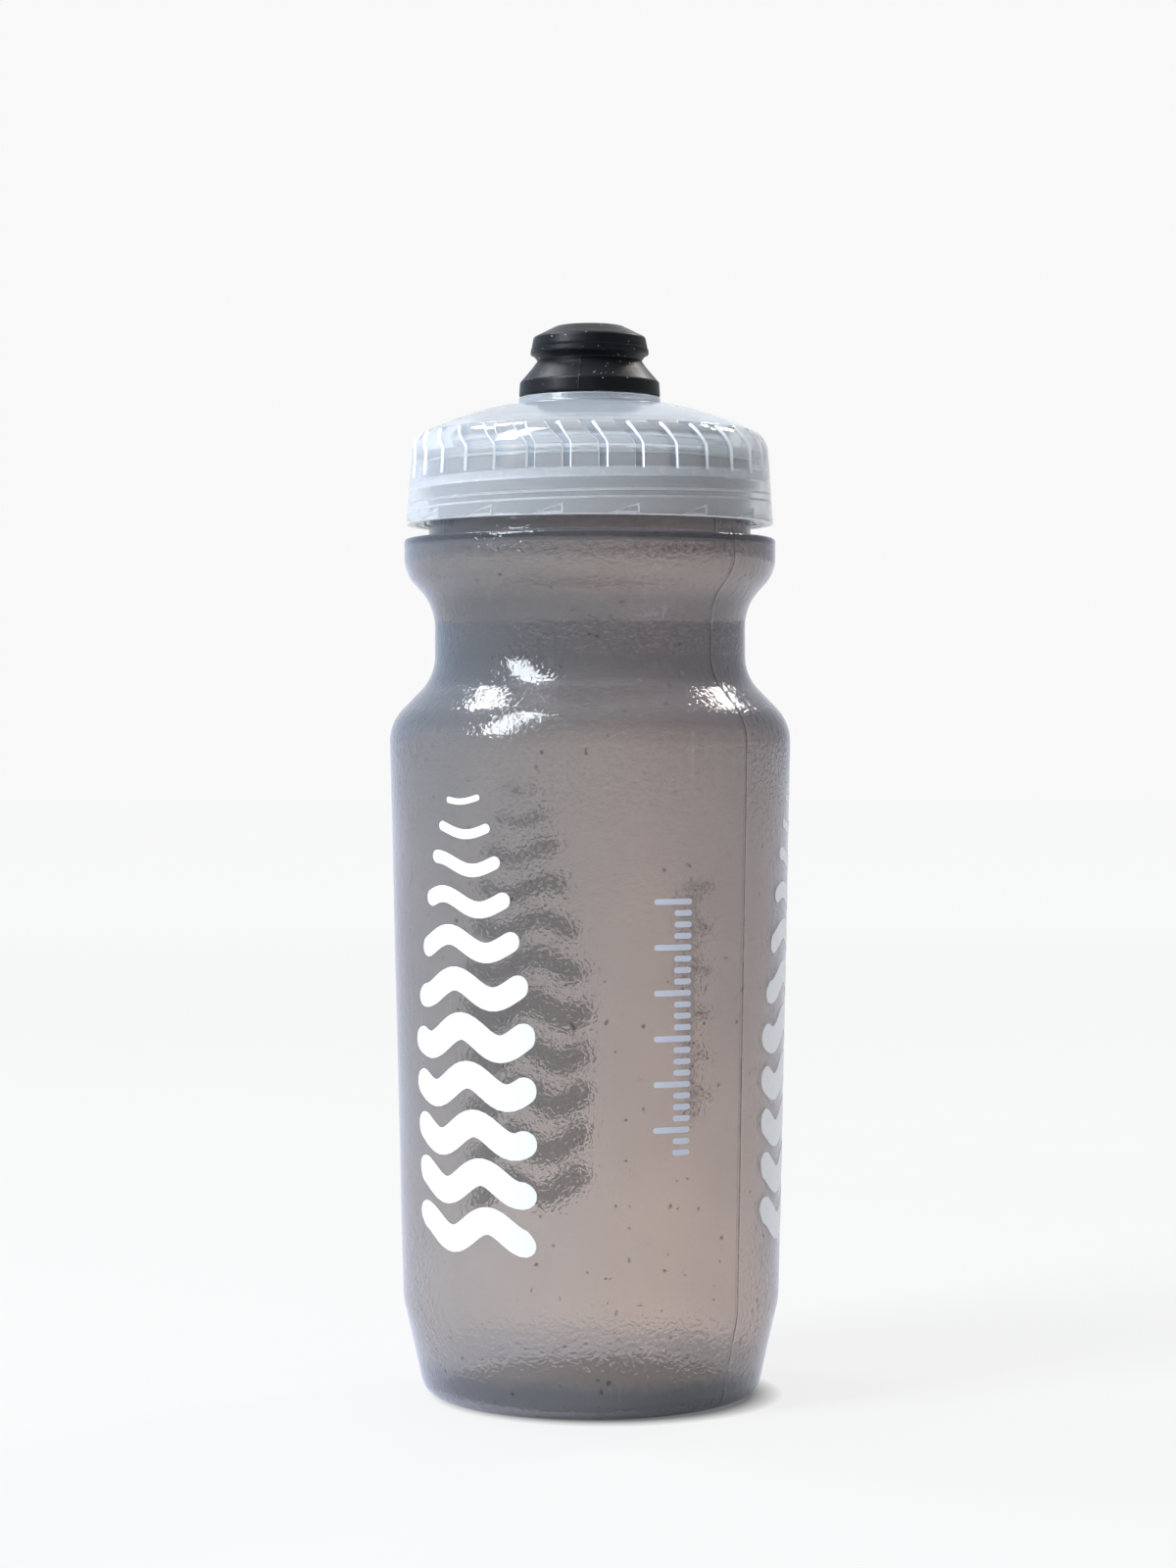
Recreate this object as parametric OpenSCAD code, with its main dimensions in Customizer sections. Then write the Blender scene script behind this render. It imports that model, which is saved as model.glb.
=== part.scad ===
// Squeeze bottle for a bicycle, with a screw cap and a push-pull drinking nozzle.
// Millimetres, +Z up. The origin is on the table, on the bottle's own axis.

/* [Bottle body] */
// Largest outer radius, at the shoulder
body_r = 37.2; // [35:0.1:38]
// Height of the centre of the shoulder's rounding
shoulder_z = 120.7; // [110:0.1:130]
// Rounding radius of the shoulder
shoulder_round = 9; // [6:0.5:11]
// Inward taper of the wall below the shoulder, in degrees
body_taper = 1.3; // [0:0.1:2]
// Radius of the narrow waist
waist_r = 28.8; // [27:0.1:30]
// Height where the waist starts to flare towards the shoulder
waist_low_z = 136.6; // [134:0.1:139]
// Height where the waist starts to flare towards the upper ring
waist_high_z = 141.9; // [140:0.1:144]
// Outer radius of the ring under the neck
ring_r = 34.35; // [33:0.05:36]
// Height of the ring's flat top
ledge_z = 158.2; // [157:0.1:159]
// Wall thickness of the bottle
wall_t = 1.2; // [0.8:0.1:1.6]

/* [Base] */
// Outer radius of the flat foot ring
foot_r = 27.6; // [26:0.1:29]
// Width of the flat foot ring
foot_w = 2.4; // [1.5:0.1:4]
// Rounding radius at the bottom edge
heel_round = 4; // [3:0.5:5]
// Slope of the band above the heel, in degrees
chamfer_angle = 13; // [10:0.5:16]
// Height where the band above the heel meets the wall
chamfer_z = 17.8; // [14:0.1:22]
// Height of the dent in the base
punt_h = 3.2; // [2:0.1:5]

/* [Neck and thread] */
// Outer radius of the neck
neck_r = 29.8; // [29:0.1:30]
// Inner radius of the neck
neck_bore_r = 28; // [27.5:0.1:28.5]
// Height of the neck's lip
lip_z = 172; // [171.5:0.1:172]
// Rise of the screw thread in one turn
thread_pitch = 3.8; // [3.6:0.1:4.2]
// Turns of thread on the neck and in the cap
thread_turns = 1.9; // [1.5:0.1:2]

/* [Cap] */
// Outer radius at the cap's lower edge
cap_low_r = 34; // [33.5:0.1:34.5]
// Outer radius where the skirt meets the rounding
cap_high_r = 33.05; // [32.5:0.05:33.5]
// Height of the cap's lower edge
cap_low_z = 160.8; // [160:0.1:161.5]
// Rounding radius between the skirt and the dome
cap_round = 4.5; // [3.5:0.5:5]
// Number of grip notches round the cap
grip_count = 32; // [12:1:36]
// Number of ratchet teeth inside the cap's lower edge
tooth_count = 15; // [8:1:20]

/* [Nozzle] */
// Travel of the nozzle from closed to open
nozzle_travel = 5; // [3:0.5:5]
// Outer radius of the spout tube that the nozzle slides on
tube_r = 6; // [5.5:0.1:6.2]
// Running clearance between the tube and the nozzle's guide
slide_gap = 0.05; // [0.02:0.01:0.1]
// Radius of the nozzle's lower edge
nozzle_low_r = 13.15; // [12.5:0.05:14]
// Radius of the nozzle's upper tier
nozzle_high_r = 11; // [10:0.1:12]

/* [Hidden] */
$fn = 96;
cut = 1;                                   // how far a cutter runs past a face

// bottle
flare_angle = 45;                          // steepest slope between waist and shoulder
flare_round = 9;                           // hollow rounding under the waist
upper_angle = 42;                          // steepest slope between waist and ring
upper_hollow = 10;                         // hollow rounding over the waist
upper_round = 7;                           // rounding under the ring
base_t = 1.8;
ring_edge = 0.7;
neck_fillet = 0.5;
lip_edge = 0.4;

// thread, common to the neck and the cap
thread_step = 10;                          // degrees between two stations
thread_fade = 40;                          // degrees over which the ends run out
neck_thread_low_z = 163.6;                 // height of the thread's lower end
neck_thread_front_z = 166.5;               // height where it crosses the front
thread_crest_r = 31.2;
neck_thread_w = [1.8, 1];                  // width at the root and at the crest
cap_thread_low_z = 163.4;
cap_thread_front_z = neck_thread_front_z - thread_pitch / 2;
cap_thread_r = 30.5;
cap_thread_w = [2, 1.1];
thread_root = 0.6;                         // depth of the root inside its wall

// cap
cap_bore_r = 32.1;
cap_wall = 1.8;
seal_land_z = 173.6;                       // flat land that the seal lies under
seal_land_r = 30.6;
seal_in_r = 27.5;
seal_rib_r = 27.2;
seal_rib_w = 0.8;
seal_rib_h = 1.4;
seal_play = 0.05;
round_z = 173.9;                           // height of the centre of the cap's rounding
dome_r = 78;
dome_low_angle = 24;
dome_high_angle = 14.3;
collar_r = 13.1;
collar_z = 184.4;
collar_fillet = 0.6;
collar_bore_r = 11.3;
dome_in_z = 177.4;                         // height of the dome's inside at its rim
ceiling_z = collar_z - cap_wall;           // underside of the collar's flat top
grip_low_z = 169.15;
grip_depth = 0.45;
grip_w = 1.5;
grip_start = 4.1;                          // direction of the first notch, in degrees
grip_bend_z = 173.6;                       // a notch is upright up to this height
grip_lean = 36.2;                          // then it leans sideways and inwards
grip_tilt = 30;
grip_run = 5.55;                           // length of the leaning part
tooth_h = 2.1;
tooth_half = 2.9;
tooth_t = 0.5;
tooth_low = 0.25;                          // height of the teeth over the cap's lower edge
tooth_start = -103.4;                      // direction of the first tooth, in degrees

// spout, all heights count from the closed nozzle
tube_bore_r = 4.2;
tube_top_z = 194.5;
bead_r = 6.8;
bead_z = 191.5;
groove_z = 192.3;
groove_h = 1.5;
groove_r = 5.5;
ring_wire = 0.7;                           // radius of the o-ring's section
ring_centre_r = 6.35;
spoke_z = 186.5;
spoke_h = 3;
spoke_w = 1.2;
plug_pin_r = 1.5;
plug_r = 2.4;
plug_z = 194.9;
plug_top_z = 195.7;

// nozzle
core_low_z = 185;
core_flange_r = 11.4;
core_flange_t = 1.2;
core_r = 8.3;
core_bore_r = 7.1;
core_roof_z = 194.8;
core_seat_z = 195.8;
core_top_z = 196.9;
core_bevel_h = 1;                          // height of the bevel round the core's top
core_top_r = 6.6;
orifice_r = 2.5;
cup_r = 5.6;
guide_top_z = bead_z - nozzle_travel - 0.1;
valve_r = 5.5;
valve_flange_t = 0.5;
valve_dome_r = 3.1;
slit_w = 0.15;
slit_l = 4.2;
mouth_r = 3.3;
sleeve_low_z = 184.6;
sleeve_top_z = 197.7;
sleeve_brim_z = sleeve_low_z + 2.2;        // top of the lower tier's upright band
sleeve_waist_r = 9.7;
sleeve_waist_z = 191.2;
sleeve_lip_r = 0.4;                        // rounding of the upper tier's lower edge
sleeve_lip_z = 192.6;
sleeve_edge_z = 195;                       // where the upper tier's bevel starts
sleeve_edge_round = 1;
sleeve_flat_r = 5.9;

// Points along an arc about [x, z], from angle a0 to a1
function arc(x, z, r, a0, a1, n) =
    [for (i = [0:n]) let (a = a0 + (a1 - a0) * i / n) [x + r * cos(a), z + r * sin(a)]];

// The bottle's outline from the heel to the ring, moved inwards by t
function body_line(t) =
    let (heel_r = heel_round - t,
         flare_x = waist_r + flare_round,
         upper_x = waist_r + upper_hollow,
         run = (ring_r - upper_round * (1 - cos(upper_angle))
                - upper_x + upper_hollow * cos(upper_angle)) / tan(upper_angle),
         upper_z = waist_high_z + (upper_hollow + upper_round) * sin(upper_angle) + run,
         band_x = foot_r + heel_round * cos(chamfer_angle)
                  + (chamfer_z - heel_round * (1 - sin(chamfer_angle))) * tan(chamfer_angle))
    concat(
        arc(foot_r, heel_round, heel_r, -90, -chamfer_angle, 8),
        [[band_x - t, chamfer_z]],
        arc(body_r - shoulder_round, shoulder_z, shoulder_round - t, -body_taper, flare_angle, 10),
        arc(flare_x, waist_low_z, flare_round + t, 180 + flare_angle, 180, 8),
        arc(upper_x, waist_high_z, upper_hollow + t, 180, 180 - upper_angle, 8),
        arc(ring_r - upper_round, upper_z, upper_round - t, -upper_angle, 0, 6));

// A right-hand screw thread from low_z up, which crosses the front at front_z.
// Its sections are at equal steps along the helix, and it fades out at both ends.
module thread(root_r, crest_r, width, low_z, front_z) {
    side = sign(crest_r - root_r);
    steps = round(360 * thread_turns / thread_step);
    start = -90 - 360 * (front_z - low_z) / thread_pitch;
    function fade(a) = min(1, a / thread_fade, (360 * thread_turns - a) / thread_fade);
    function section(i) =
        let (a = i * thread_step,
             z = low_z + thread_pitch * a / 360,
             crest = root_r + side * 0.1 + (crest_r - root_r - side * 0.1) * max(0, fade(a)),
             c = cos(start + a),
             s = sin(start + a),
             low = side * width[0] / 2,
             high = side * width[1] / 2)
        [[root_r * c, root_r * s, z - low], [crest * c, crest * s, z - high],
         [crest * c, crest * s, z + high], [root_r * c, root_r * s, z + low]];
    last = 4 * steps;
    polyhedron(
        points = [for (i = [0:steps]) each section(i)],
        faces = concat(
            [[3, 2, 1, 0], [last, last + 1, last + 2, last + 3]],
            [for (i = [0:steps - 1], k = [0:3])
                [4 * i + k, 4 * i + (k + 1) % 4, 4 * i + 4 + (k + 1) % 4]],
            [for (i = [0:steps - 1], k = [0:3])
                [4 * i + k, 4 * i + 4 + (k + 1) % 4, 4 * i + 4 + k]]));
}

module tube(outer_r, inner_r, z0, z1) {
    translate([0, 0, z0]) difference() {
        cylinder(r = outer_r, h = z1 - z0);
        translate([0, 0, -cut]) cylinder(r = inner_r, h = z1 - z0 + 2 * cut);
    }
}

// ---- bottle ----

module bottle_body() {
    punt_r = foot_r - foot_w;
    punt_round = (punt_r * punt_r + punt_h * punt_h) / (2 * punt_h);
    punt_angle = asin(punt_r / punt_round);
    color([0.56, 0.55, 0.55, 0.6]) {
        difference() {
            rotate_extrude() polygon(concat(
                arc(0, punt_h - punt_round, punt_round, 90, 90 - punt_angle, 5),
                body_line(0),
                [[ring_r, ledge_z - ring_edge], [ring_r - ring_edge, ledge_z],
                 [neck_r + neck_fillet, ledge_z], [neck_r, ledge_z + neck_fillet],
                 [neck_r, lip_z - lip_edge], [neck_r - lip_edge, lip_z], [0, lip_z]]));
            rotate_extrude() polygon(concat(
                arc(0, punt_h - punt_round, punt_round + base_t, 90, 90 - punt_angle, 5),
                body_line(wall_t),
                [[ring_r - wall_t, ledge_z - wall_t - ring_edge],
                 [ring_r - wall_t - ring_edge, ledge_z - wall_t],
                 [neck_bore_r, ledge_z - wall_t],
                 [neck_bore_r, lip_z + cut], [0, lip_z + cut]]));
        }
        thread(neck_r - thread_root, thread_crest_r, neck_thread_w,
               neck_thread_low_z, neck_thread_front_z);
    }
}

// ---- cap ----

module cap_outside() {
    low = 90 - dome_low_angle;
    edge_x = cap_high_r - cap_round + cap_round * cos(low);
    edge_z = round_z + cap_round * sin(low);
    dome_x = edge_x - dome_r * cos(low);
    dome_z = edge_z - dome_r * sin(low);
    rotate_extrude() polygon(concat(
        [[0, cap_low_z], [cap_low_r, cap_low_z]],
        arc(cap_high_r - cap_round, round_z, cap_round, 0, low, 8),
        arc(dome_x, dome_z, dome_r, low, 90 - dome_high_angle, 8),
        [[collar_r + collar_fillet, collar_z - 1.6], [collar_r, collar_z - 1],
         [collar_r, collar_z - 0.2], [collar_r - 0.2, collar_z], [0, collar_z]]));
}

module cap_inside() {
    rib_in_r = seal_rib_r - seal_rib_w;
    rotate_extrude() polygon([
        [0, cap_low_z - cut], [cap_bore_r, cap_low_z - cut],
        [cap_bore_r, seal_land_z - 1.5], [seal_land_r, seal_land_z], [rib_in_r, seal_land_z],
        [rib_in_r - 0.6, dome_in_z], [collar_r + 3, ceiling_z - 2],
        [collar_bore_r, ceiling_z - 1.2], [collar_bore_r, ceiling_z], [0, ceiling_z]]);
}

// One grip notch: a flat slot up the skirt that leans sideways over the rounding
module grip_notch() {
    translate([cap_high_r - grip_depth, 0, 0]) {
        translate([0, -grip_w / 2, grip_low_z])
            cube([2 * cap_wall, grip_w, grip_bend_z - grip_low_z]);
        translate([0, 0, grip_bend_z]) rotate([grip_lean, -grip_tilt, 0])
            translate([0, -grip_w / 2, -grip_depth]) cube([2 * cap_wall, grip_w, grip_run]);
    }
}

module ratchet_tooth() {
    translate([cap_bore_r - tooth_t, 0, cap_low_z + tooth_low]) rotate([90, 0, 90])
        linear_extrude(2 * tooth_t)
            polygon([[-tooth_half, 0], [tooth_half, 0], [tooth_half, tooth_h]]);
}

module spout() {
    difference() {
        union() {
            tube(tube_r, tube_bore_r, ceiling_z, tube_top_z);
            tube(bead_r, tube_bore_r, bead_z, tube_top_z);
        }
        tube(bead_r + cut, groove_r, groove_z, groove_z + groove_h);
    }
    for (a = [90, 210, 330]) rotate([0, 0, a])
        translate([0, -spoke_w / 2, spoke_z]) cube([tube_bore_r + 0.4, spoke_w, spoke_h]);
    translate([0, 0, spoke_z]) cylinder(r = plug_pin_r, h = plug_top_z - spoke_z);
    translate([0, 0, plug_z]) cylinder(r = plug_r, h = plug_top_z - plug_z);
}

module cap_shell() {
    color([0.9, 0.92, 0.95, 0.7]) {
        difference() {
            cap_outside();
            cap_inside();
            translate([0, 0, ceiling_z - cut])
                cylinder(r = tube_bore_r, h = cap_wall + 2 * cut);
            for (i = [0:grip_count - 1])
                rotate([0, 0, grip_start + i * 360 / grip_count]) grip_notch();
        }
        spout();
        tube(seal_rib_r, seal_rib_r - seal_rib_w, seal_land_z - seal_rib_h, seal_land_z + 0.6);
        for (i = [0:tooth_count - 1])
            rotate([0, 0, tooth_start + i * 360 / tooth_count]) ratchet_tooth();
        thread(cap_bore_r + thread_root, cap_thread_r, cap_thread_w,
               cap_thread_low_z, cap_thread_front_z);
    }
}

module cap_seal() {
    color([0.85, 0.85, 0.82])
        tube(seal_land_r - 0.1, seal_in_r, lip_z + seal_play, seal_land_z - seal_play);
}

module spout_o_ring() {
    color([0.1, 0.1, 0.1]) translate([0, 0, groove_z + groove_h / 2])
        rotate_extrude() translate([ring_centre_r, 0]) circle(r = ring_wire, $fn = 32);
}

// ---- nozzle ----

// The core's outside with its flange and bevelled top, from low_z up
module core_outside(low_z) {
    flange_z = core_low_z + core_flange_t;
    rotate_extrude() polygon([
        [0, low_z], [core_flange_r, low_z], [core_flange_r, flange_z], [core_r, flange_z],
        [core_r, core_top_z - core_bevel_h], [core_top_r, core_top_z], [0, core_top_z]]);
}

module nozzle_core() {
    color([0.75, 0.77, 0.8]) difference() {
        core_outside(core_low_z);
        translate([0, 0, core_low_z - cut])
            cylinder(r = tube_r + slide_gap, h = guide_top_z - core_low_z + 2 * cut);
        translate([0, 0, guide_top_z])
            cylinder(r = core_bore_r, h = core_roof_z - guide_top_z);
        translate([0, 0, core_roof_z - cut])
            cylinder(r = orifice_r, h = core_seat_z - core_roof_z + 2 * cut);
        translate([0, 0, core_seat_z]) cylinder(r = cup_r, h = core_top_z - core_seat_z + cut);
    }
}

module slit_valve() {
    z = core_seat_z;
    color([0.2, 0.2, 0.22]) difference() {
        rotate_extrude() polygon([
            [0, z + 0.45], [valve_dome_r - 0.4, z + 0.25], [valve_dome_r, z], [valve_r, z],
            [valve_r, z + valve_flange_t], [valve_dome_r + 0.2, z + valve_flange_t],
            [valve_dome_r - 0.3, z + 0.8], [0, z + 1]]);
        for (a = [45, 135]) rotate([0, 0, a])
            translate([-slit_l / 2, -slit_w / 2, z]) cube([slit_l, slit_w, 2]);
    }
}

module valve_retainer() {
    color([0.75, 0.77, 0.8])
        tube(valve_r + 0.05, mouth_r + 0.1, core_seat_z + valve_flange_t, core_top_z);
}

// The soft outside: a wide lower tier, a waist for the teeth and a bevelled upper tier
module nozzle_sleeve() {
    color([0.13, 0.13, 0.15]) difference() {
        rotate_extrude() polygon(concat(
            [[0, sleeve_low_z], [nozzle_low_r, sleeve_low_z]],
            arc(nozzle_low_r - 1, sleeve_brim_z, 0.85, 0, 48, 3),
            [[sleeve_waist_r + 0.25, sleeve_waist_z - 0.35], [sleeve_waist_r, sleeve_waist_z],
             [sleeve_waist_r + 0.35, sleeve_waist_z + 0.5]],
            arc(nozzle_high_r - sleeve_lip_r, sleeve_lip_z, sleeve_lip_r, -50, 0, 3),
            arc(nozzle_high_r - 0.5 - sleeve_edge_round, sleeve_edge_z, sleeve_edge_round, 0, 60, 4),
            [[sleeve_flat_r + 1.1, sleeve_top_z - 0.3], [sleeve_flat_r, sleeve_top_z],
             [0, sleeve_top_z]]));
        core_outside(sleeve_low_z - cut);
        translate([0, 0, core_top_z - cut]) cylinder(r = mouth_r, h = 3 * cut);
    }
}

bottle_body();
cap_shell();
cap_seal();
spout_o_ring();
nozzle_core();
slit_valve();
valve_retainer();
nozzle_sleeve();
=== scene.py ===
import math

import bpy
import numpy as np
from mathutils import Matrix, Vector


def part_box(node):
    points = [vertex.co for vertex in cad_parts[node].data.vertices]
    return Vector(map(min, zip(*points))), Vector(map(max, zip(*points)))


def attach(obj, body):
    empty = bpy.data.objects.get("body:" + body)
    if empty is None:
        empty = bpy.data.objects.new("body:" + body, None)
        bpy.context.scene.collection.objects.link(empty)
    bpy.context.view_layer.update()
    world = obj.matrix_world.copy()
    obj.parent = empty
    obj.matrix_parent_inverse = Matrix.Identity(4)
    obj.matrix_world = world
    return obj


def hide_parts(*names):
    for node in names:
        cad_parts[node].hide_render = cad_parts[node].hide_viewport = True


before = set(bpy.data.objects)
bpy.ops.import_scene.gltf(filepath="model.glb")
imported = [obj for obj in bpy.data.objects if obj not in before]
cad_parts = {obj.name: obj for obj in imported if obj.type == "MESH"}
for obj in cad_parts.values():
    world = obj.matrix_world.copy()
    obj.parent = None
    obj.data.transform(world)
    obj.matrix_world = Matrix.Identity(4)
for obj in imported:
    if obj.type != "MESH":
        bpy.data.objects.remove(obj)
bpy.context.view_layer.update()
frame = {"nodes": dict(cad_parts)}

# The looks of a translucent squeeze bottle with a frosted screw cap and a soft black
# nozzle. The axis is Z and the photo looks along +Y. Lengths are in millimetres up to the
# moment a mesh is made; materials, lamps and the camera are in metres. Angles are in
# degrees, but phi is in radians.

MM = 0.001

# ---- driving sizes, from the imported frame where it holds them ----

BODY_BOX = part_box("bottle_body")
CAP_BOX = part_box("cap_shell")
SLEEVE_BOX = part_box("nozzle_sleeve")
SKIN = 0.03                                  # surfaces stay this far inside the frame's box

BODY_R = BODY_BOX[1].x / MM - SKIN           # bottle
LIP_Z = BODY_BOX[1].z / MM
SHOULDER_Z, SHOULDER_ROUND = 120.7, 9.0
BODY_TAPER = 1.3
WAIST_R, WAIST_LOW_Z, WAIST_HIGH_Z = 28.8, 136.6, 141.9
FLARE_ANGLE, FLARE_ROUND = 45.0, 9.0
UPPER_ANGLE, UPPER_HOLLOW, UPPER_ROUND = 42.0, 10.0, 7.0
RING_R, RING_EDGE, LEDGE_Z = 34.35, 0.7, 158.2
WALL_T, BASE_T = 1.2, 1.8
FOOT_R, FOOT_W, FOOT_Z, HEEL_ROUND = 27.6, 2.4, 0.02, 4.0
CHAMFER_ANGLE, CHAMFER_Z, CHAMFER_SOFT, PUNT_H = 13.0, 17.8, 1.6, 3.2
NECK_R, NECK_BORE_R = 29.8, 28.0
SEAM_AZIMUTHS = (-41.0, 139.0)               # the mould's parting line, both sides
SEAM_H, SEAM_W = 0.1, 0.17
SEAM_STEPS = (0, 0.08, 0.16, 0.26, 0.4)      # extra columns this far to both sides of it
OUTER_WAVES, INNER_WAVES = 0.09, 0.28        # unevenness of the wall's two sides

THREAD_PITCH, THREAD_TURNS = 3.8, 1.9        # screw thread
NECK_THREAD_LOW_Z, NECK_THREAD_FRONT_Z = 163.6, 166.5
NECK_THREAD_R, NECK_THREAD_W = 31.2, (1.8, 1.0)
CAP_THREAD_LOW_Z = 163.4
CAP_THREAD_FRONT_Z = NECK_THREAD_FRONT_Z - THREAD_PITCH / 2
CAP_THREAD_R, CAP_THREAD_W = 30.5, (2.0, 1.1)
THREAD_ROOT, THREAD_SOFT = 0.6, 0.1          # how deep it starts in the wall, its rounding
THREAD_STEP, THREAD_FADE = 3, 40             # degrees: one section to the next, run-in

CAP_LOW_R = CAP_BOX[1].x / MM - SKIN         # cap
CAP_LOW_Z = CAP_BOX[0].z / MM + SKIN
CAP_HIGH_R, CAP_ROUND, ROUND_Z = 33.05, 4.5, 173.9
CAP_BORE_R, SEAL_LAND_Z, SEAL_LAND_R = 32.1, 173.6, 30.6
RIB_R, RIB_W, RIB_H = 27.2, 0.8, 1.4
DOME_R, DOME_LOW, DOME_HIGH, DOME_IN_Z = 78.0, 24.0, 14.3, 177.4
COLLAR_R, COLLAR_Z, COLLAR_BORE_R, CAP_WALL = 13.1, 184.4, 11.3, 1.8
GRIP_COUNT, GRIP_START, GRIP_DEPTH = 32, 4.1, 0.45
GRIP_LOW_Z, GRIP_BEND_Z, GRIP_TOP_Z = 169.15, 173.6, 177.7
GRIP_SKEW, GRIP_WIDEN = 5.6, 0.75            # how far a notch leans and widens at its top
NOTCH_EDGE, NOTCH_FLOOR = 1.5, 1.08          # from a notch's middle to its edges
NOTCH_INNER, NOTCH_OUTER, NOTCH_REACH = 0.4, 1.8, 1.85
TOOTH_COUNT, TOOTH_H, TOOTH_HALF, TOOTH_START = 15, 2.1, 2.9, -103.4
TOOTH_RIM, TOOTH_DEPTH, TOOTH_LIFT = 0.42, 0.5, 0.25

TUBE_R, TUBE_BORE_R, TUBE_TOP_Z = 6.0, 4.2, 194.5        # spout
BEAD_R, BEAD_Z, GROOVE_R, GROOVE_Z, GROOVE_H = 6.8, 191.5, 5.5, 192.3, 1.5
SPOKE_Z, SPOKE_H, SPOKE_W = 186.5, 3.0, 1.2
PLUG_PIN_R, PLUG_R, PLUG_Z, PLUG_TOP_Z = 1.5, 2.4, 194.9, 195.7

SLEEVE_LOW_Z = SLEEVE_BOX[0].z / MM + SKIN   # nozzle
SLEEVE_TOP_Z = SLEEVE_BOX[1].z / MM - SKIN
SLEEVE_LOW_R = SLEEVE_BOX[1].x / MM - SKIN
SLEEVE_HIGH_R, SLEEVE_WAIST_R, SLEEVE_WAIST_Z = 11.0, 9.7, 191.2
SLEEVE_LIP_Z, SLEEVE_EDGE_Z, SLEEVE_FLAT_R, MOUTH_R = 192.6, 195.0, 5.9, 3.3
CORE_R, CORE_FLANGE_R, CORE_FLANGE_Z, CORE_TOP_Z = 8.3, 11.4, 186.2, 196.9
CORE_TOP_R, CORE_BEVEL_H = 6.6, 1.0
SLEEVE_SEAMS = (-98.7, 81.3)                 # the mould's parting line, both sides
SLEEVE_SEAM_H, SLEEVE_SEAM_W = 0.05, 0.1
SLEEVE_SEAM_STEPS = (0, 0.05, 0.1, 0.17, 0.25)
SLEEVE_WAVES = 0.05


# ---- outlines ----

def sin(degrees):
    return math.sin(math.radians(degrees))


def cos(degrees):
    return math.cos(math.radians(degrees))


def tan(degrees):
    return math.tan(math.radians(degrees))


def arc(x, z, r, a0, a1, n):
    """Points along an arc about (x, z), in n steps from the angle a0 to a1."""
    return [(x + r * cos(a), z + r * sin(a)) for a in np.linspace(a0, a1, n + 1)]


def bevelled(path, size, steps=3):
    """The path with each corner rounded by a small curve that starts size before it, or
    0.4 of the way along a shorter side."""
    out = []
    for before, corner, after in zip([path[0]] + path[:-1], path, path[1:] + [path[-1]]):
        c = np.array(corner)
        sides = [np.array(before) - c, np.array(after) - c]
        lengths = [np.linalg.norm(s) for s in sides]
        if min(lengths) < 1e-9:
            out.append(corner)
            continue
        ends = [c + s / length * min(size, 0.4 * length) for s, length in zip(sides, lengths)]
        for t in np.linspace(0, 1, steps + 1):
            out.append(tuple((1 - t) ** 2 * ends[0] + 2 * t * (1 - t) * c + t * t * ends[1]))
    return out


def filled(path, step):
    """The path with extra points, so that none is further than step from the next."""
    out = [path[0]]
    for a, b in zip(path[:-1], path[1:]):
        n = max(1, math.ceil(math.dist(a, b) / step))
        out += [(a[0] + (b[0] - a[0]) * i / n, a[1] + (b[1] - a[1]) * i / n)
                for i in range(1, n + 1)]
    return out


def body_line(t):
    """The bottle's outline from the heel to the ring, moved inwards by t."""
    flare_x = WAIST_R + FLARE_ROUND
    upper_x = WAIST_R + UPPER_HOLLOW
    run = (RING_R - UPPER_ROUND * (1 - cos(UPPER_ANGLE))
           - upper_x + UPPER_HOLLOW * cos(UPPER_ANGLE)) / tan(UPPER_ANGLE)
    upper_z = WAIST_HIGH_Z + (UPPER_HOLLOW + UPPER_ROUND) * sin(UPPER_ANGLE) + run
    band_x = (FOOT_R + HEEL_ROUND * cos(CHAMFER_ANGLE)
              + (CHAMFER_Z - HEEL_ROUND * (1 - sin(CHAMFER_ANGLE))) * tan(CHAMFER_ANGLE))
    heel = arc(FOOT_R, HEEL_ROUND, HEEL_ROUND - t, -90, -CHAMFER_ANGLE, 14)
    shoulder = arc(BODY_R - SHOULDER_ROUND, SHOULDER_Z, SHOULDER_ROUND - t,
                   -BODY_TAPER, FLARE_ANGLE, 22)
    band = bevelled([heel[-1], (band_x - t, CHAMFER_Z), shoulder[0]], CHAMFER_SOFT, 6)[1:-1]
    return (heel + band + shoulder
            + arc(flare_x, WAIST_LOW_Z, FLARE_ROUND + t, 180 + FLARE_ANGLE, 180, 20)
            + arc(upper_x, WAIST_HIGH_Z, UPPER_HOLLOW + t, 180, 180 - UPPER_ANGLE, 20)
            + arc(RING_R - UPPER_ROUND, upper_z, UPPER_ROUND - t, -UPPER_ANGLE, 0, 14))


# ---- meshes ----

def ripple(phi, z, seed, size, waves=9):
    """Soft unevenness of a moulded wall: a few seeded waves round and along it."""
    rng = np.random.default_rng(seed)
    total = np.zeros(np.broadcast(phi, z).shape)
    for _ in range(waves):
        turns, wave = rng.integers(1, 9), rng.uniform(18, 70)
        phase = rng.uniform(0, 2 * math.pi, 2)
        total += np.cos(turns * phi + phase[0]) * np.cos(2 * math.pi * z / wave + phase[1])
    return size * total / waves


def seam_ridge(r, phi, azimuths, height, width):
    """The raised hair line where the two halves of a mould meet."""
    line = np.zeros_like(r)
    for azimuth in azimuths:
        away = (phi - math.radians(azimuth) + math.pi) % (2 * math.pi) - math.pi
        line += height * np.exp(-(away * r / width) ** 2)
    return line


def seam_columns(azimuths, radius, steps):
    """Column angles close to each parting line, so that its ridge has its shape."""
    return [math.radians(a) + side * s / radius
            for a in azimuths for s in steps for side in ((1, -1) if s else (1,))]


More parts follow.
